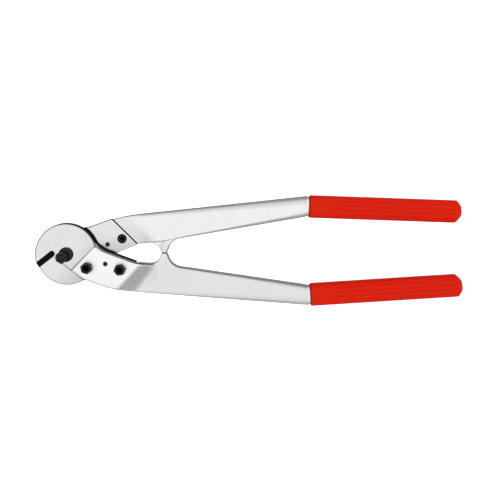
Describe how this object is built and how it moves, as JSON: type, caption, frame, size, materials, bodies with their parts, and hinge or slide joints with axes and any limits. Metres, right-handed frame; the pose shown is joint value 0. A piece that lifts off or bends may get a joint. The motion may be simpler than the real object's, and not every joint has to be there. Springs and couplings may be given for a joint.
{
  "type": "hand cable cutter",
  "caption": "Long two-hand wire rope cutter with hooked lapping blades bolted to cranked alloy arms, rubber grips and a keyed pivot pin.",
  "frame": {"origin": "half way along the tool, on its long axis and on the plane where the two blades meet", "axes": "+X from the blades towards the grips, +Y from the long axis to the upper arm, +Z out of the front, where the lower arm's blade lies"},
  "size_m": [0.5888, 0.1534, 0.049],
  "materials": {
    "alloy": "satin, fine blasted",
    "blade_steel": "flat faces ground bright, edges and hollows blackened",
    "black_oxide": "black oxide on steel, lightly oiled",
    "grip_rubber": "satin moulded, with shallow grooves"
  },
  "bodies": {
    "lower_side": {"lower_arm": "alloy", "lower_grip": "grip_rubber", "front_blade": "blade_steel", "lower_nose_screw": "black_oxide", "lower_heel_screw": "black_oxide", "lower_nose_nut": "black_oxide", "lower_heel_nut": "black_oxide", "lower_spring_pin": "black_oxide", "pivot_pin": "black_oxide", "pivot_washer": "black_oxide", "clamp_bolt": "black_oxide", "clamp_nut": "black_oxide"},
    "upper_side": {"upper_arm": "alloy", "upper_grip": "grip_rubber", "rear_blade": "blade_steel", "upper_nose_screw": "black_oxide", "upper_heel_screw": "black_oxide", "upper_nose_nut": "black_oxide", "upper_heel_nut": "black_oxide", "upper_spring_pin": "black_oxide"}
  },
  "joints": [
    {"name": "pivot", "type": "hinge", "parent": "lower_side", "child": "upper_side", "pos_m": [-0.25122, 0, 0], "axis": [0, 0, 1], "range_deg": [0, 90]}
  ]
}
